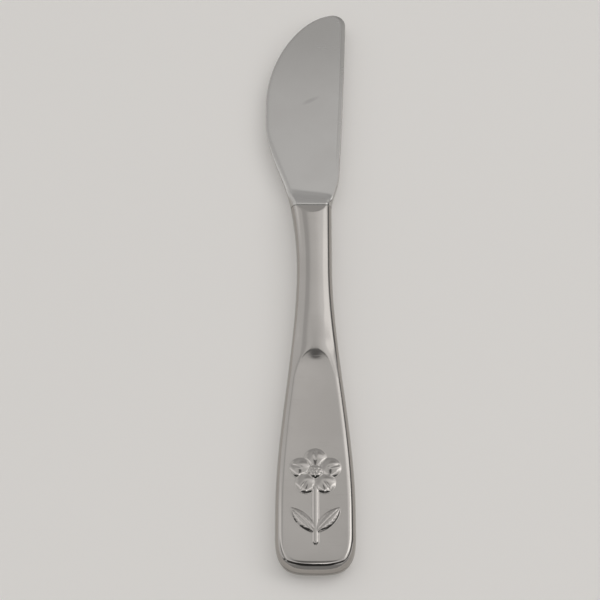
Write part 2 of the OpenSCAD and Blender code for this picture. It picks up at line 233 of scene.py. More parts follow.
def shellColumns(v, grid=shellGrid):
    # columns at fixed shares of the panel, then sine steps over the border to the rim on each side
    t = np.linspace(-1, 1, 2 * grid["panelColumns"] + 1)
    inside = panelWidth(v) * np.sign(t) * (1 - (1 - np.abs(t)) ** grid["panelEase"])
    out = np.sin(np.linspace(0, math.pi / 2, grid["borderColumns"] + 1))[1:]
    left = -mix(-inside[:, :1], rowWidth(v, -1.0), out)[:, ::-1]
    right = mix(inside[:, -1:], rowWidth(v, 1.0), out)
    return np.concatenate([left, inside, right], axis=1)


def rimShare(v, x, y, flat, form=handleForm):
    # share of the way from the edge of the flat to the rim, measured from the middle of both rims;
    # round the butt it is a mean of two: the share by distance from the outline, and the root of
    # a^2 + b^2 - a^2 b^2 for the shares a to the side and b to the end
    left, right = rowWidth(v, -1.0), rowWidth(v, 1.0)
    off = np.abs(x - (right - left) / 2)
    share = clamp01((off - flat) / np.maximum((left + right) / 2 - flat, 1e-6))
    end = clamp01(1 - v / form["borderWidth"])
    square = np.sqrt(share ** 2 + end ** 2 - (share * end) ** 2)
    bent = clamp01(1 - buttDistance(x, y) / form["borderWidth"])
    return np.where(y < form["gripStart"], mix(bent, square, form["cornerSquare"]), share)


# front shell: panel with its arch, quarter-round border, raised blossom, neck and the facet at the mouth
frontShell = {
    "panelHeight": 2.5,     # over the parting plane
    "crownHeight": 3.1,
    "flatGone": 64.3,       # here the flat between the borders has closed
    "rampLength": 5.0,      # hollow ramp at the end of the panel
    "rampHeight": 0.33,
    "rampBow": 0.02,        # how far the ramp's foot bends back beside the middle
    "dish": 0.14,           # hollow of the panel across its width
    "dishRun": 14.0,        # length over which the hollow begins behind the butt's border
    "panelCrease": 0.06,    # roundness of the line round the panel
    "creaseStart": 30.0,    # nearer the butt the line is sharp
    "creaseRun": 15.0,
    "mouthHeight": 2.42,    # top of the mouth, which a sloping facet cuts down to
    "facetLength": 2.5,
    "facetCrease": 0.05,
    "mouthBreak": 0.05,     # broken edge at the joint
    "breakRun": 0.16,
    "innerStep": 2,         # of so many rows and columns the hidden inside keeps one
}

# the blossom's heights; each pillow is a height with the powers of its fullness and its edge
blossom = {
    "at": 26.0,
    "petals": 5,
    "ring": 3.7,
    "petalRadius": 2.75,
    "petalPillow": (0.6, 2.0, 0.72),
    "groove": 0.13,         # crease along a petal's middle
    "grooveWidth": 0.34,
    "grooveStart": 1.2,     # from here in front of the petal's middle it deepens over the run
    "grooveRun": 2.6,
    "grooveFade": 0.3,      # share of the radius over which it runs out at the outline
    "heartRadius": 1.9,
    "heartPillow": (0.62, 3.0, 0.5),
    "seeds": 6,
    "seedRing": 1.05,
    "seedRadius": 0.46,
    "seedPillow": (0.1, 2.0, 0.6),
    "stemFoot": 6.5,
    "stemWidth": 1.4,
    "stemPillow": (0.35, 2.0, 0.5),
    "leafAt": 13.0,
    "leafHalf": 4.4,
    "leafWidth": 1.7,
    "leafPoint": 0.8,       # power that draws the leaf's outline to its points
    "leafPillow": (0.56, 2.0, 0.7),
    "leafTaper": 0.3,       # power that lowers it there
    "leafLean": 42.0,
    "rib": 0.14,
    "ribWidth": 0.16,
    "ribFade": 0.4,
    "veins": 1.15,          # distance between side veins
    "veinDepth": 0.03,
    "veinSlant": 0.8,
    "veinSharp": 6,
    "veinFade": 0.5,
    "crease": 0.05,         # softness of the lines where raised forms meet
}


def pillow(d, height, fullness, edge):
    # h (1 - d^fullness)^edge inside the outline d = 1
    return height * np.maximum(0.0, 1 - np.abs(d) ** fullness) ** edge


def raisedBlossom(x, y, look=blossom):
    # the highest of all petals, the heart, the stem and two leaves over the panel
    total = np.zeros_like(x)
    dx, dy = x, y - look["at"]
    for k in range(look["petals"]):
        turn = math.radians(90 + 360 * k / look["petals"])
        along = dx * math.cos(turn) + dy * math.sin(turn)
        across = -dx * math.sin(turn) + dy * math.cos(turn)
        d = np.hypot((along - look["ring"]) / look["petalRadius"], across / look["petalRadius"])
        fold = look["groove"] * np.exp(-(across / look["grooveWidth"]) ** 2)
        fold = fold * smooth((along - look["ring"] + look["grooveStart"]) / look["grooveRun"])
        petal = pillow(d, *look["petalPillow"]) - fold * smooth((1 - d) / look["grooveFade"])
        total = softMax(total, petal, look["crease"]) * (d < 1) + total * (d >= 1)
    d = np.hypot(dx, dy) / look["heartRadius"]
    heart = pillow(d, *look["heartPillow"])
    for k in range(look["seeds"] + 1):
        turn = 2 * math.pi * k / look["seeds"]
        reach = look["seedRing"] if k else 0.0
        seed = np.hypot(dx - reach * math.cos(turn), dy - reach * math.sin(turn)) / look["seedRadius"]
        heart = heart + pillow(seed, *look["seedPillow"])
    total = np.where(d < 1, np.maximum(total, heart), total)
    stemTop = look["at"] - look["ring"]
    halfStem = look["stemWidth"] / 2
    beside = np.hypot(x, np.maximum(0, look["stemFoot"] + halfStem - y)) / halfStem
    stem = pillow(beside, *look["stemPillow"]) * (y < stemTop)
    total = np.maximum(total, stem)
    lean = math.radians(look["leafLean"])
    for side in (-1, 1):
        lx = x - side * look["leafHalf"] * math.sin(lean)
        ly = y - look["leafAt"]
        along = lx * side * math.sin(lean) + ly * math.cos(lean)
        across = lx * math.cos(lean) - ly * side * math.sin(lean)
        reach = clamp01(1 - (along / look["leafHalf"]) ** 2)
        wide = look["leafWidth"] * reach ** look["leafPoint"] + 1e-6
        leaf = pillow(np.minimum(1, np.abs(across) / wide), *look["leafPillow"]) * reach ** look["leafTaper"]
        rib = look["rib"] * np.exp(-(across / look["ribWidth"]) ** 2) * smooth(reach / look["ribFade"])
        slant = (along - look["veinSlant"] * np.abs(across)) / look["veins"]
        wave = np.maximum(0, np.cos(2 * math.pi * slant)) ** look["veinSharp"]
        vein = look["veinDepth"] * wave * smooth(reach / look["veinFade"])
        leaf = np.where((reach > 0) & (np.abs(across) < wide), leaf - rib - vein, 0)
        total = np.maximum(total, leaf)
    return np.maximum(total, 0)


def facetHeight(v, form=handleForm, shell=frontShell):
    # plane that falls from the neck's crown to the top of the mouth
    slope = (shell["crownHeight"] - shell["mouthHeight"]) / shell["facetLength"]
    return shell["mouthHeight"] + slope * (form["length"] - v)


def frontHeight(v, x, y, form=handleForm, shell=frontShell):
    # the lower of two forms: the quarter round of the border, which grows into the neck's dome,
    # and the dished panel with a hollow ramp at its end; at the mouth a facet slopes down to the joint
    wide = panelWidth(v)
    flat = wide * (1 - smooth((v - form["archStart"]) / (shell["flatGone"] - form["archStart"])))
    curve = section(rimShare(v, x, y, flat), squareness(v))
    body = mix(shell["panelHeight"], shell["crownHeight"], neckShare(v)) * curve
    foot = form["archTop"] - shell["rampLength"] - shell["rampBow"] * x ** 2
    ramp = shell["rampHeight"] * (np.maximum(0, v - foot) / shell["rampLength"]) ** 3
    begun = smooth((v - form["borderWidth"]) / shell["dishRun"])
    dish = shell["dish"] * clamp01(1 - (x / wide) ** 2) * begun
    panel = shell["panelHeight"] - dish + ramp
    crease = shell["panelCrease"] * smooth((v - shell["creaseStart"]) / shell["creaseRun"])
    height = softMin(body, panel, crease) + raisedBlossom(x, y)
    lip = shell["mouthBreak"] * clamp01(1 - (form["length"] - v) / shell["breakRun"]) ** 2
    return np.maximum(0, softMin(height, facetHeight(v), shell["facetCrease"]) - lip * curve)


def innerSheet(v, x, up, top, form=handleForm, shell=frontShell):
    # the hollow: a boxy superellipse one wall inside the shell, flat under the panel
    side = np.where(x < 0, -1.0, 1.0)
    s = x / rowWidth(v, side)
    w = mix(form["wall"], form["length"], v / form["length"])
    slim = smooth((w - form["gripStart"]) / (form["neckAt"] - form["gripStart"]))
    square = mix(form["hollowSquare"], form["neckSquare"], slim)
    low = form["midHeight"] - form["wall"]
    if up > 0:
        share = smooth((w - form["archTop"]) / (form["neckFull"] - form["archStart"]))
        low = mix(shell["panelHeight"] - shell["dish"], shell["crownHeight"], share)
        low = np.minimum(low, facetHeight(w)) - form["wall"]
    end = section(clamp01(1 - (w - form["wall"]) / form["hollowEnd"]), form["hollowEndSquare"])
    height = form["seam"] / 2 + low * section(s, square) * end * (1 - form["seam"] / 2 / top)
    half = rowWidth(w, side) - form["wall"]
    return np.stack([s * half, w + setBack(w, s), form["midHeight"] + up * height], -1)


def shellRows(detail=1.0, form=handleForm, grid=shellGrid):
    # cosine steps over the butt's round, then each span's end and rows: close over the relief, arch and mouth
    def count(n):
        return max(grid["leastRows"], int(n * detail))

    start = form["borderWidth"]
    rows = [start * (1 - np.cos(steps(0, math.pi / 2, count(grid["roundRows"]))))]
    for end, many in grid["rowSpans"]:
        rows.append(steps(start, end, count(many)))
        start = end
    rows.append(np.linspace(start, form["length"], count(grid["mouthRows"])))
    return np.concatenate(rows)


def placeAlong(v, x):
    # distance from the butt of the points of bent rows
    return v + setBack(v, x / rowWidth(v, np.where(x < 0, -1.0, 1.0)))


def outerSheet(v, x, up, height, form=handleForm):
    # a height over the rim, up or down from the middle of the seam
    z = form["midHeight"] + up * (form["seam"] / 2 + height)
    return np.stack([x, placeAlong(v, x), z], -1)


def thinned(grid, step):
    # every point moves to the kept row and column before it, and welding leaves one point in step by step
    rows, columns = [np.append(np.arange(n - 1) // step * step, n - 1) for n in grid.shape[:2]]
    return grid[rows][:, columns]


def buildFrontShell(form=handleForm, shell=frontShell):
    # the outer form with its relief, closed to the hollow's wall along rims, butt and mouth
    v = shellRows()[:, None]
    x = shellColumns(v)
    low = 1 - form["seam"] / 2 / shell["crownHeight"]
    outer = outerSheet(v, x, 1, frontHeight(v, x, placeAlong(v, x)) * low)
    inner = thinned(innerSheet(v, x, 1, shell["crownHeight"]), shell["innerStep"])
    points, quads = skin(outer, inner)
    return makePiece("frontHandleShell", "front_handle_shell", points, quads, 50)


# rear shell: the same outline, with a flat back that the knife rests on
rearShell = {
    "flatEnd": 36.0,        # the flat narrows from here
    "flatGone": 78.0,       # and is a line from here on
    "detail": 0.45,
}


def rearHeight(v, x, y, shell=rearShell):
    # depth under the parting plane: quarter-round border round the flat, the neck's section past it
    share = 1 - smooth((v - shell["flatEnd"]) / (shell["flatGone"] - shell["flatEnd"]))
    return section(rimShare(v, x, y, panelWidth(v) * share), squareness(v))


def buildRearShell(form=handleForm, shell=rearShell):
    # the flat back and its border, closed to the hollow's wall in the same way
    v = shellRows(shell["detail"])[:, None]
    x = shellColumns(v, plainGrid)
    depth = (form["midHeight"] - form["seam"] / 2) * rearHeight(v, x, placeAlong(v, x))
    outer = outerSheet(v, x, -1, depth)
    inner = innerSheet(v, x, -1, form["midHeight"])
    points, quads = skin(inner, outer)
    return makePiece("rearHandleShell", "rear_handle_shell", points, quads, 50)


# blade with its shoulder and tang
bladeForm = {
    "length": 169.49,
    "root": 104.9,
    "collar": 0.3,          # level ledge in front of the joint
    "crown": 3.1,
    "ledge": 2.42,          # flat top of the shoulder
    "ledgeCrease": 0.08,
    "bellyWidth": 12.75,
    "heelAt": 132.5,
    "bellyAt": 139.5,
    "bellySquare": 1.79,
    "spineHeel": 6.6,
    "spineTip": 8.65,
    "spineBow": 0.16,
    "tipRadius": 3.5,
    "spineRootThick": 2.2,
    "spineTipThick": 1.2,
    "edgeThick": 0.5,
    "edgeBevel": 0.7,
    "heelBevel": 1.65,
    "heelStart": 121.0,     # the heel's bevel narrows to the edge's between these two
    "heelEnd": 132.5,
    "spineBevel": 1.0,
    "spineStart": 115.2,    # the spine's bevel grows past the shoulder between these two
    "spineFull": 127.2,
    "heelDrop": 0.52,       # share of the thickness that a bevel takes off at its rim
    "edgeDrop": 0.35,
    "spineDrop": 0.15,
    "heelBow": 2.0,         # power of the bevel's convex curve
    "edgeBow": 1.4,
    "edgeRound": 0.1,       # rounding of the two rims
    "spineRound": 0.15,
    "leastHalf": 0.12,
    "rampEdge": 6.6,
    "rampSpine": 4.2,
    "shoulder": 10.5,
    "tangLength": 42.0,
    "tangWidth": 4.4,
    "tangEnd": 3.2,
    "tangThick": 2.2,
    "tangNotch": 0.8,
    "notchesAt": (0.4, 0.75),   # shares of the tang's length
    "groundWidth": 1.2,     # strip ground along the spine, in widths of its bevel
    "groundFade": 0.2,
}

bladeGrid = {
    "rimColumns": 7,
    "bevelColumns": 9,
    "faceColumns": 73,
    "mostBevel": 0.2,       # of the blade's width, where it is narrow
    "mostRound": 0.5,       # of the bevel's width
    "collarRows": 10,
    "rampRows": 48,
    "heelRows": 90,
    "tipRows": 110,
    "tangRows": 90,
}


def mouthSlope(mouth, form=handleForm):
    # slope at the end of the quadratic flare: twice its rise over its run
    return 2 * (mouth - form["neckWidth"] / 2) / (form["length"] - form["neckAt"])


def edgeWidth(y, form=bladeForm, handle=handleForm):
    # cubic from the mouth to the belly, straight, then a superelliptic curve to the tip
    run = form["heelAt"] - handle["length"]
    heel = cubic(handle["mouthEdge"], form["bellyWidth"], mouthSlope(handle["mouthEdge"]) * run, 0,
                 (y - handle["length"]) / run)
    far = clamp01((y - form["bellyAt"]) / (form["length"] - form["bellyAt"]))
    drop = form["bellyWidth"] + form["spineTip"] - form["tipRadius"]
    tip = form["bellyWidth"] - drop * (1 - section(far, form["bellySquare"]))
    return np.where(y < form["heelAt"], heel, tip)


def spineWidth(y, form=bladeForm, handle=handleForm):
    # cubic over the shoulder, a slightly bowed line, then a round at the tip
    start = handle["length"] + form["shoulder"]
    end = form["length"] - form["tipRadius"]
    slope = (form["spineTip"] - form["spineHeel"] + 4 * form["spineBow"]) / (end - start)
    root = cubic(handle["mouthSpine"], form["spineHeel"], mouthSlope(handle["mouthSpine"]) * form["shoulder"],
                 slope * form["shoulder"], (y - handle["length"]) / form["shoulder"])
    t = (y - start) / (end - start)
    line = mix(form["spineHeel"], form["spineTip"], t) + 4 * form["spineBow"] * t * (1 - t)
    reach = np.maximum(0, form["tipRadius"] ** 2 - (y - end) ** 2)
    tip = form["spineTip"] - form["tipRadius"] + np.sqrt(reach)
    return np.where(y < start, root, np.where(y < end, line, tip))


def faceHeight(x, y, form=bladeForm, handle=handleForm):
    # plane through half the spine's thickness at both ends and half the edge's at the belly
    points = np.array([
        [form["spineHeel"], handle["length"] + form["shoulder"], form["spineRootThick"] / 2],
        [form["spineTip"], form["length"] - form["tipRadius"], form["spineTipThick"] / 2],
        [-form["bellyWidth"], form["bellyAt"], form["edgeThick"] / 2],
    ])
    n = np.cross(points[1] - points[0], points[2] - points[0])
    p = points[0]
    return np.maximum(form["leastHalf"], p[2] - (n[0] * (x - p[0]) + n[1] * (y - p[1])) / n[2])


def rimRound(d, r):
    # quarter circle that closes the rim
    return np.sqrt(np.maximum(0, 1 - clamp01(1 - d / r) ** 2))


def fromHeel(y, heel, edge, form=bladeForm):
    # a value at the heel that turns into another along the edge
    share = smooth((y - form["heelStart"]) / (form["heelEnd"] - form["heelStart"]))
    return mix(form[heel], form[edge], share)


def spineGrown(y, form=bladeForm):
    # 0 on the shoulder, 1 where the spine's bevel is full
    return smooth((y - form["spineStart"]) / (form["spineFull"] - form["spineStart"]))


def bladeHeight(x, y, up, form=bladeForm, handle=handleForm):
    # bevelled face, 1 - drop (1 - share)^bow of its height beside the edge;
    # near the root the shoulder's section runs out to it along (1 - t)^3 (1 + 3t)
    left, right = edgeWidth(y), spineWidth(y)
    across = (x + left) / np.maximum(right + left, 1e-6)
    run = mix(form["rampEdge"], form["rampSpine"], across)
    edgeD = np.maximum(0, x + left)
    spineD = np.maximum(0, right - x)
    inward = clamp01(edgeD / fromHeel(y, "heelBevel", "edgeBevel"))
    edgeCut = 1 - fromHeel(y, "heelDrop", "edgeDrop") * (1 - inward) ** fromHeel(y, "heelBow", "edgeBow")
    spineCut = 1 - form["spineDrop"] * spineGrown(y) * (1 - clamp01(spineD / form["spineBevel"]))
    ends = rimRound(edgeD, form["edgeRound"]) * rimRound(spineD, form["spineRound"])
    face = faceHeight(x, y) * edgeCut * spineCut * ends
    curve = section((x - (right - left) / 2) / np.maximum((left + right) / 2, 1e-6), handle["neckSquare"])
    shoulder = handle["midHeight"] * curve
    if up > 0:
        shoulder = np.maximum(0, softMin(form["crown"] * curve, form["ledge"], form["ledgeCrease"]))
    t = clamp01((y - form["root"] - form["collar"]) / run)
    return mix(face, shoulder, (1 - t) ** 3 * (1 + 3 * t))


def bladeColumns(y, form=bladeForm, grid=bladeGrid):
    # close steps over the rounded rims and the bevels, even steps over the face
    left, right = -edgeWidth(y), spineWidth(y)
    most = grid["mostBevel"] * (right - left)
    edge = np.minimum(fromHeel(y, "heelBevel", "edgeBevel"), most)
    spine = np.minimum(form["spineBevel"], most)
    edgeRound = np.minimum(form["edgeRound"], grid["mostRound"] * edge)
    spineRound = np.minimum(form["spineRound"], grid["mostRound"] * spine)
    roll = 1 - np.cos(np.linspace(0, math.pi / 2, grid["rimColumns"]))
    bevel = np.linspace(0, 1, grid["bevelColumns"])
    even = np.linspace(0, 1, grid["faceColumns"])[1:-1]
    return np.concatenate([
        left + edgeRound * roll,
        mix(left + edgeRound, left + edge, bevel[1:]),
        mix(left + edge, right - spine, even),
        mix(right - spine, right - spineRound, bevel[:-1]),
        right - spineRound * roll[::-1],
    ], axis=1)


def tangSheet(y, share, up, form=bladeForm, handle=handleForm):
    # flat bar that narrows to its end, with two notches in each side
    t = clamp01((handle["length"] - y) / form["tangLength"])
    half = mix(form["tangWidth"], form["tangEnd"], t) / 2
    for place in form["notchesAt"]:
        off = (y - handle["length"] + place * form["tangLength"]) / form["tangNotch"]
        half = half - form["tangNotch"] * np.sqrt(np.maximum(0, 1 - off ** 2))
    x = half * share
    z = handle["midHeight"] + up * form["tangThick"] / 2 + 0 * x
    return np.stack([x, y + 0 * x, z], -1)


def markGround(piece, form=bladeForm, handle=handleForm):
    # attribute that is 1 on the strip ground along the spine and 0 past its width
    mesh = piece.data
    corners = np.empty(3 * len(mesh.vertices))
    mesh.vertices.foreach_get("co", corners)
    x, y = corners.reshape(-1, 3)[:, :2].T * 1000
    y = y + handle["originAt"]
    inward = (spineWidth(y) - x) / form["spineBevel"]
    layer = mesh.attributes.new("groundStrip", "FLOAT", "POINT")
    share = smooth((form["groundWidth"] - inward) / form["groundFade"])
    layer.data.foreach_set("value", spineGrown(y) * share)


def buildBlade(form=bladeForm, handle=handleForm, grid=bladeGrid):
    # rows of the tang, then of the blade, in two sheets up and down from the middle height
    ridge = form["root"] + form["collar"]
    tipRun = form["length"] - form["bellyAt"]
    y = np.concatenate([
        steps(form["root"], ridge, grid["collarRows"]),
        steps(ridge, ridge + form["rampEdge"], grid["rampRows"]),
        steps(ridge + form["rampEdge"], form["bellyAt"], grid["heelRows"]),
        form["bellyAt"] + tipRun * np.sin(np.linspace(0, math.pi / 2, grid["tipRows"])),
    ])[:, None]
    x = bladeColumns(y)
    share = np.linspace(-1, 1, x.shape[1])[None, :]
    tangRows = np.linspace(handle["length"] - form["tangLength"], form["root"], grid["tangRows"])[:, None]
    sheets = []
    for up in (1, -1):
        z = handle["midHeight"] + up * bladeHeight(x, y, up)
        face = np.stack([x, y + 0 * x, z], -1)
        sheets.append(np.concatenate([tangSheet(tangRows, share, up), face]))
    points, quads = skin(sheets[0], sheets[1])
    piece = makePiece("blade", "blade", points, quads, 40)
    markGround(piece)
    return piece


# solder lines between the shells and at the mouth, a little below the polished steel
solderLines = {
    "seamRecess": 0.04,
    "mouthThick": 0.2,
    "mouthRecess": 0.1,
    "ringPoints": 240,
}


def rimPath(sheet):
    # from the mouth on the edge side round the butt to the mouth on the spine side
    return np.concatenate([sheet[:0:-1, 0], sheet[0], sheet[1:, -1]])


def buildSeam(form=handleForm, look=solderLines):
    # a strip one wall wide along the rims, its outer side drawn in by the recess
    v = shellRows(rearShell["detail"])[:, None]
    x = shellColumns(v, plainGrid)
    outside = rimPath(outerSheet(v, x, 1, 0 * x))
    inside = rimPath(innerSheet(v, x, 1, frontShell["crownHeight"]))
    inward = inside - outside
    inward = inward / np.maximum(np.linalg.norm(inward[:, :2], axis=1, keepdims=True), 1e-6)
    outside = outside + look["seamRecess"] * inward
    sheets = []
    for up in (1, -1):
        strip = np.stack([inside, outside], axis=1)
        strip[..., 2] = form["midHeight"] + up * form["seam"] / 2
        sheets.append(strip)
    points, quads = skin(sheets[0], sheets[1])
    return makePiece("seamSolder", "seam_solder", points, quads)


def buildMouthSolder(form=handleForm, look=solderLines, bar=bladeForm):
    # a ring: the mouth's outline outside and the tang's section inside, carried through its thickness
    a = steps(0, 2 * math.pi, look["ringPoints"])
    c, s = np.cos(a), np.sin(a)
    n = form["neckSquare"]
    middle = (form["mouthSpine"] - form["mouthEdge"]) / 2
    half = (form["mouthSpine"] + form["mouthEdge"]) / 2 - look["mouthRecess"]
    tall = np.where(s < 0, form["midHeight"], bar["crown"]) - look["mouthRecess"]
    up = np.minimum(tall * np.sign(s) * np.abs(s) ** (2 / n), bar["ledge"] - look["mouthRecess"])
    outer = np.stack([middle + half * np.sign(c) * np.abs(c) ** (2 / n), up], -1)
    scale = np.minimum(bar["tangWidth"] / 2 / np.maximum(np.abs(outer[:, 0]), 1e-6),
                       bar["tangThick"] / 2 / np.maximum(np.abs(outer[:, 1]), 1e-6))
    inner = outer * np.minimum(scale, 1)[:, None]
    rings = []
    for ring, y in ((outer, 0), (outer, 1), (inner, 1), (inner, 0), (outer, 0)):
        place = np.full(len(a), form["length"] + y * look["mouthThick"])
        rings.append(np.stack([ring[:, 0], place, ring[:, 1] + form["midHeight"]], -1))
    grid = np.stack(rings)
    grid = np.concatenate([grid, grid[:, :1]], axis=1)
    index = np.arange(grid.shape[0] * grid.shape[1]).reshape(grid.shape[:2])
    quads = np.stack([index[:-1, :-1], index[1:, :-1], index[1:, 1:], index[:-1, 1:]], -1).reshape(-1, 4)
    return makePiece("mouthSolder", "mouth_solder", grid.reshape(-1, 3), quads)


front = buildFrontShell()
rear = buildRearShell()
blade = buildBlade()
seam = buildSeam()
mouth = buildMouthSolder()


class Wire:
    # a shader socket that takes part in Python sums; every sum adds a Math node
    def __init__(self, tree, socket=None):
        self.tree = tree
        self.socket = socket

    def node(self, kind, settings=None, inputs=None, output=0):
        made = self.tree.nodes.new(kind)
        for key, value in (settings or {}).items():
            setattr(made, key, value)
        for key, value in (inputs or {}).items():
            if isinstance(value, Wire):
                self.tree.links.new(value.socket, made.inputs[key])
            else:
                made.inputs[key].default_value = value
        return Wire(self.tree, made.outputs[output]) if made.outputs else made

    def math(self, operation, *values):
        return self.node("ShaderNodeMath", {"operation": operation}, dict(enumerate((self,) + values)))

    def __add__(self, other):
        return self.math("ADD", other)

    def __sub__(self, other):
        return self.math("SUBTRACT", other)

    def __rsub__(self, other):
        return self.node("ShaderNodeMath", {"operation": "SUBTRACT"}, {0: other, 1: self})

    def __mul__(self, other):
        return self.math("MULTIPLY", other)

    def __rmul__(self, other):
        return self.math("MULTIPLY", other)

    def __pow__(self, other):
        return self.math("POWER", other)

    def between(self, low, high):
        # smooth step from 0 at low to 1 at high
        return self.node("ShaderNodeMapRange", {"interpolation_type": "SMOOTHSTEP"},
                         {"Value": self, "From Min": low, "From Max": high})


def blend(start, share, one, other):
    # colour one and the share of the way on to the other
    colours = [c if isinstance(c, Wire) else (*c, 1) for c in (one, other)]
    return start.node("ShaderNodeMix", {"data_type": "RGBA"}, {0: share, 6: colours[0], 7: colours[1]}, 2)


def newMaterial(name):
    material = bpy.data.materials.new(name)
    material.use_nodes = True
    material.node_tree.nodes.clear()
    return material, Wire(material.node_tree)


def finishMaterial(material, start, inputs):
    shader = start.node("ShaderNodeBsdfPrincipled", None, inputs)
    start.node("ShaderNodeOutputMaterial", None, {"Surface": shader})
    return material


def turned(start, coords, stretch, angle=(0, 0, 0)):
    # object coordinates turned and stretched by a Mapping node
    return start.node("ShaderNodeMapping", {"vector_type": "POINT"},
                      {"Vector": coords, "Rotation": angle, "Scale": stretch})


def noise(start, vector, scale, detail, rough):
    # a Noise Texture's value
    return start.node("ShaderNodeTexNoise", {"noise_dimensions": "3D"},
                      {"Vector": vector, "Scale": scale, "Detail": detail, "Roughness": rough})


# each noise has scale, detail and roughness
steelGrain = {
    "grain": (9000.0, 3.0, 0.6),
    "smudge": (90.0, 4.0, 0.55),
    "smudgeSpan": (0.35, 0.65),
    "hair": (2600.0, 1.0, 0.4),
    "hairSpan": (0.70, 0.76),
    "hairAngles": (17, -38, 71),
    "hairStretch": (0.012, 1.0, 1.0),
    "patch": (160.0, 2.0, 0.5),     # where hairs gather
    "patchSpan": (0.42, 0.62),
    "grainBump": 0.6,               # beside the hairs' depth of 1
    "bumpDepth": 0.0001,
}

steelLooks = {
    "bladeSteel": {
        "colour": (0.51, 0.497, 0.478),
        "tint": (0.497, 0.482, 0.463),
        "roughness": 0.20,
        "smudge": 0.04,
        "grain": 0.02,
        "grainStretch": (0.06, 1.0, 0.5),
        "scratches": 0.05,
        "bump": 0.008,
        # darker colour of the ground strip and the scuff; towards the tip it is painted shade
        "wearAndTipShade": (0.36, 0.349, 0.333),
        "wornRough": 0.08,
        "groundShare": 0.75,    # how far the strip along the spine goes to the worn colour
        "scuffShare": 0.4,
        "scuffAt": (-0.0009, 0.1099, 0.0034),
        "scuffTurn": 29.2,
        "scuffSize": (0.0033, 0.0009, 1.0),
        "scuffFade": (1.0, 0.2),        # shares of its size where it begins and is full
        "tipShadeSpan": (0.108, 0.134),      # painted shade and more roughness towards the tip, from here to there
        "tipShadeShare": 0.5,
    },
    "handleSteel": {
        "colour": (0.424, 0.402, 0.380),
        "tint": (0.410, 0.388, 0.366),
        "roughness": 0.11,
        "smudge": 0.03,
        "grain": 0.02,
        "grainStretch": (1.0, 0.05, 1.0),
        "scratches": 0.12,
        "bump": 0.015,
    },
}


def wearAndTipShadeMask(start, coords, look):
    # sum of the strip along the spine from the mesh's attribute, one scuff, an ellipse turned to its slant,
    # and painted shade towards the tip, each times its share
    ground = start.node("ShaderNodeAttribute", {"attribute_name": "groundStrip"}, None, "Fac")
    place = start.node("ShaderNodeMapping", {"vector_type": "TEXTURE"},
                       {"Vector": coords, "Location": look["scuffAt"],
                        "Rotation": (0, 0, math.radians(look["scuffTurn"])), "Scale": look["scuffSize"]})
    out = start.node("ShaderNodeVectorMath", {"operation": "LENGTH"}, {0: place}, "Value")
    # painted shade: the face's colour darkens towards the tip
    tip = start.node("ShaderNodeSeparateXYZ", None, {0: coords}, "Y").between(*look["tipShadeSpan"])
    scuff = out.between(*look["scuffFade"])
    return ground * look["groundShare"] + scuff * look["scuffShare"] + tip * look["tipShadeShare"]


def steelMaterial(name, look, fine=steelGrain):
    # polished steel: fine grain along one way, hair scratches in three ways and soft handling marks
    material, start = newMaterial(name)
    coords = start.node("ShaderNodeTexCoord", None, None, "Object")
    grain = noise(start, turned(start, coords, look["grainStretch"]), *fine["grain"])
    smudge = noise(start, coords, *fine["smudge"])
    hairs = None
    for angle in fine["hairAngles"]:
        lines = turned(start, coords, fine["hairStretch"], (0, 0, math.radians(angle)))
        hair = noise(start, lines, *fine["hair"]).between(*fine["hairSpan"])
        hairs = hair if hairs is None else hairs + hair
    hairs = hairs * noise(start, coords, *fine["patch"]).between(*fine["patchSpan"])
    rough = (smudge - 0.5) * (2 * look["smudge"]) + (grain - 0.5) * (2 * look["grain"]) \
        + hairs * look["scratches"] + look["roughness"]
    colour = blend(start, smudge.between(*fine["smudgeSpan"]), look["colour"], look["tint"])
    if "wearAndTipShade" in look:
        wearAndTipShade = wearAndTipShadeMask(start, coords, look)
        rough = rough + wearAndTipShade * look["wornRough"]
        # wear on the spine's strip and the scuff, and painted shade towards the tip
        colour = blend(start, wearAndTipShade, colour, look["wearAndTipShade"])
    height = grain * fine["grainBump"] - hairs
    bump = start.node("ShaderNodeBump", None,
                      {"Strength": look["bump"], "Distance": fine["bumpDepth"], "Height": height})
    return finishMaterial(material, start, {
        "Base Color": colour, "Metallic": 1.0, "Roughness": rough, "Normal": bump,
    })


solderLook = {
    "colour": (0.5, 0.5, 0.48),
    "dark": (0.38, 0.38, 0.36),
    "pits": (4200.0, 3.0, 0.6),
    "patch": (400.0, 2.0, 0.5),
    "roughness": 0.3,
    "pitRough": 0.25,       # the pits add up to this
    "bump": 0.15,
    "bumpDepth": 0.0001,
}

cementLook = {
    "colour": (0.6, 0.57, 0.5),
    "dark": (0.42, 0.39, 0.33),
    "sand": (3000.0, 5.0, 0.65),
    "grains": (1400.0, 1.0, 0.5),
    "grainSpan": (0.62, 0.7),
    "grainShare": 0.6,      # how far grains and sand go to the dark colour
    "sandShare": 0.3,
    "roughness": 0.7,
    "sandRough": 0.2,
    "bump": 0.4,
    "bumpDepth": 0.0002,
}


def solderMaterial(look=solderLook):
    # dull grey metal with fine pits
    material, start = newMaterial("solderGrey")
    coords = start.node("ShaderNodeTexCoord", None, None, "Object")
    pits = noise(start, coords, *look["pits"])
    colour = blend(start, noise(start, coords, *look["patch"]), look["colour"], look["dark"])
    bump = start.node("ShaderNodeBump", None,
                      {"Strength": look["bump"], "Distance": look["bumpDepth"], "Height": pits})
    return finishMaterial(material, start, {
        "Base Color": colour,
        "Metallic": 1.0,
        "Roughness": pits * look["pitRough"] + look["roughness"],
        "Normal": bump,
    })


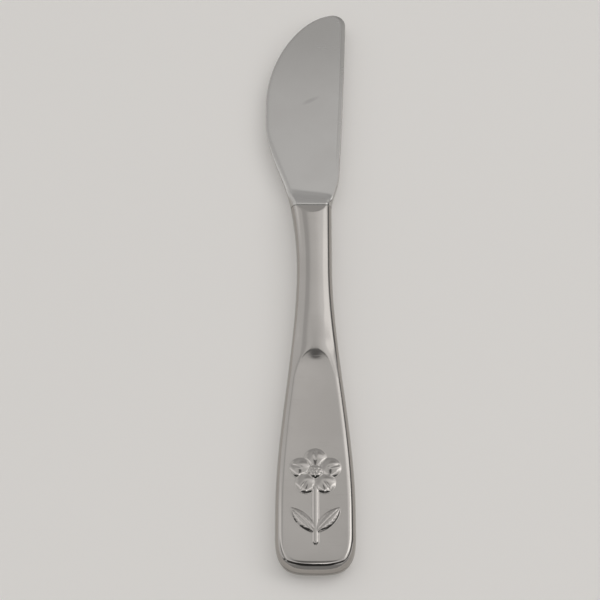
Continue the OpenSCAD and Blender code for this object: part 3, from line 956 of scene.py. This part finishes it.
def cementMaterial(look=cementLook):
    # pale setting cement: sandy grain and a few darker grains
    material, start = newMaterial("handleCement")
    coords = start.node("ShaderNodeTexCoord", None, None, "Object")
    sand = noise(start, coords, *look["sand"])
    grains = noise(start, coords, *look["grains"]).between(*look["grainSpan"])
    share = grains * look["grainShare"] + sand * look["sandShare"]
    colour = blend(start, share, look["colour"], look["dark"])
    bump = start.node("ShaderNodeBump", None,
                      {"Strength": look["bump"], "Distance": look["bumpDepth"], "Height": sand})
    return finishMaterial(material, start, {
        "Base Color": colour,
        "Roughness": sand * look["sandRough"] + look["roughness"],
        "Normal": bump,
    })


bladeSteel = steelMaterial("bladeSteel", steelLooks["bladeSteel"])
handleSteel = steelMaterial("handleSteel", steelLooks["handleSteel"])
solderGrey = solderMaterial()
cementSand = cementMaterial()
for piece, material in ((blade, bladeSteel), (front, handleSteel), (rear, handleSteel),
                        (seam, solderGrey), (mouth, solderGrey)):
    piece.data.materials.append(material)
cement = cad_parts["handle_cement"]
for slotOf in cement.material_slots:
    slotOf.material = cementSand
print("materials made:", len(bpy.data.materials))


# floor, light and camera
stageLook = {
    "floorSize": 3.0,
    "floorColour": (0.875, 0.847, 0.814),
    "floorMottle": (0.86, 0.832, 0.80),
    "floorGlow": (1.0, 0.97, 0.93),     # a pale glow that only camera and steel see
    "glowShare": 0.2,
    "mottle": (14.0, 4.0, 0.5),
    "roughness": 0.8,
    "specular": 0.1,
    "floorDrop": 0.00002,
}

# the room round the knife: value of the light from each direction; later rows are painted over earlier ones
roomLight = {
    "base": 0.82,
    "patches": (
        # both ends, in degrees off straight up towards +X and +Y; half width; how many half widths
        # it fades out over; value
        ((0, 68), (0, 82), 16.0, 1.60, 0.53),
        ((-12, 48), (12, 48), 5.0, 2.00, 0.46),
        ((32, 32), (21, 34), 4.1, 3.5, 1.12),
        ((43, 49), (38, 45), 2.3, 3.6, 1.22),
        ((34, 63), (58, 62), 6.0, 1.5, 0.50),
        ((-18, 33), (-9, 50), 4.5, 2.4, 0.64),
        ((26, 33), (52, 40), 3.0, 1.4, 1.50),
        ((30, 19), (72, 34), 6.1, 1.25, 2.20),
        ((62, 26), (84, 48), 3.6, 1.95, 0.10),
        ((64, 40), (72, 58), 4.5, 1.6, 0.20),
        ((-28, 18), (-50, 30), 2.8, 2.2, 1.20),
        ((-53, 13), (-53, 16), 6.0, 2.1, 0.42),
        ((30, -66), (75, -25), 13.0, 1.4, 0.45),
        ((-30, -66), (-75, -25), 13.0, 1.4, 0.45),
        ((5, -71), (-5, -71), 25.0, 1.25, 0.36),
        ((12, -20), (38, -20), 12.0, 1.35, 0.07),
        ((46, -12), (68, 16), 5.5, 1.5, 0.10),
        ((-12, -20), (-32, -26), 14.0, 1.35, 0.07),
        ((-46, -2), (-74, -12), 5.0, 1.5, 0.12),
        ((0, -30), (0, -30), 14.0, 1.4, 0.04),
        ((0, 18), (0, 5), 3.3, 1.6, 0.40),
        ((0, 22), (0, 8), 2.6, 1.2, 0.15),
        ((-28, 16), (-4, -2), 1.8, 1.4, 1.30),
        ((31, 17), (6, -2), 2.2, 1.4, 1.60),
        ((2, -4), (2, -9), 1.6, 1.6, 2.40),
        ((31, 17), (41, 10), 2.2, 1.4, 1.60),
    ),
}

sideSoftbox = {
    "toward": (0.85, -0.05, 0.52),
    "distance": 1.2,
    "size": 0.5,
    "watts": 1.2,
}

cameraView = {
    "lens": 144.0,
    "sensor": 36.0,
    "turn": (33.0, 0.0, 0.0),
    "place": (-0.003683, -0.283766, 0.511742),
}


def buildFloor(look=stageLook):
    # one square of mottled paper just under the knife
    half = look["floorSize"] / 2
    corners = np.array([[-1, -1], [1, -1], [1, 1], [-1, 1]]) * half
    low = np.full((4, 1), -look["floorDrop"])
    mesh = bpy.data.meshes.new("tableTop")
    mesh.from_pydata(np.concatenate([corners, low], axis=1).tolist(), [], [[0, 1, 2, 3]])
    floor = bpy.data.objects.new("tableTop", mesh)
    scene.collection.objects.link(floor)
    material, start = newMaterial("tablePaper")
    coords = start.node("ShaderNodeTexCoord", None, None, "Object")
    mottle = noise(start, coords, *look["mottle"])
    colour = blend(start, mottle, look["floorColour"], look["floorMottle"])
    paper = start.node("ShaderNodeBsdfPrincipled", None, {
        "Base Color": colour, "Roughness": look["roughness"], "Specular IOR Level": look["specular"],
    })
    glow = start.node("ShaderNodeEmission", None, {"Color": (*look["floorGlow"], 1)})
    seen = start.node("ShaderNodeLightPath", None, None, "Is Camera Ray")
    seen = seen + start.node("ShaderNodeLightPath", None, None, "Is Glossy Ray")
    table = start.node("ShaderNodeMixShader", None, {0: seen * look["glowShare"], 1: paper, 2: glow})
    start.node("ShaderNodeOutputMaterial", None, {"Surface": table})
    mesh.materials.append(material)


def toward(across, along):
    # unit vector so many degrees off straight up
    off = math.hypot(across, along)
    rise = math.sin(math.radians(off)) / max(off, 1e-9)
    return np.array([rise * across, rise * along, math.cos(math.radians(off))])


def buildRoomLight(look=roomLight):
    # each patch is an ellipse on the sky: its two ends lie on the long axis, and it fades along a smooth step
    world = bpy.data.worlds.new("studioRoom")
    scene.world = world
    world.use_nodes = True
    world.node_tree.nodes.clear()
    start = Wire(world.node_tree)
    view = start.node("ShaderNodeTexCoord", None, None, "Generated")

    def lined(axis):
        # length of the view's direction along an axis
        return start.node("ShaderNodeVectorMath", {"operation": "DOT_PRODUCT"},
                          {0: view, 1: axis.tolist()}, "Value")

    light = look["base"]
    for one, other, half, fade, value in look["patches"]:
        a, b = toward(*one), toward(*other)
        aim = (a + b) / np.linalg.norm(a + b)
        reach = math.acos(min(1.0, float(a @ b))) / 2 + math.radians(half)
        line = b - a if one != other else np.cross((0, 1, 0), aim)
        line = line / np.linalg.norm(line)
        along = lined(line / math.sin(reach))
        over = lined(np.cross(aim, line) / math.sin(math.radians(half)))
        out = (along * along + over * over) ** 0.5
        share = out.between(fade, 1.0) * lined(aim).math("GREATER_THAN", 0.0)
        light = (value - light) * share + light
    background = start.node("ShaderNodeBackground", None, {"Color": (1, 1, 1, 1), "Strength": light})
    start.node("ShaderNodeOutputWorld", None, {"Surface": background})


def buildSoftbox(look=sideSoftbox):
    # a round lamp that aims at the origin
    data = bpy.data.lights.new("sideSoftbox", "AREA")
    data.shape = "DISK"
    data.size = look["size"]
    data.energy = look["watts"]
    lamp = bpy.data.objects.new("sideSoftbox", data)
    aim = Vector(look["toward"]).normalized()
    lamp.location = aim * look["distance"]
    lamp.rotation_euler = aim.to_track_quat("Z", "Y").to_euler()
    lamp.visible_glossy = False   # the steel shows the room, not the lamp
    scene.collection.objects.link(lamp)


def buildCamera(look=cameraView):
    data = bpy.data.cameras.new("tableCamera")
    data.lens = look["lens"]
    data.sensor_width = look["sensor"]
    camera = bpy.data.objects.new("tableCamera", data)
    camera.rotation_euler = [math.radians(a) for a in look["turn"]]
    camera.location = look["place"]
    scene.collection.objects.link(camera)
    scene.camera = camera


buildFloor()
buildRoomLight()
buildSoftbox()
buildCamera()
print("stage set")
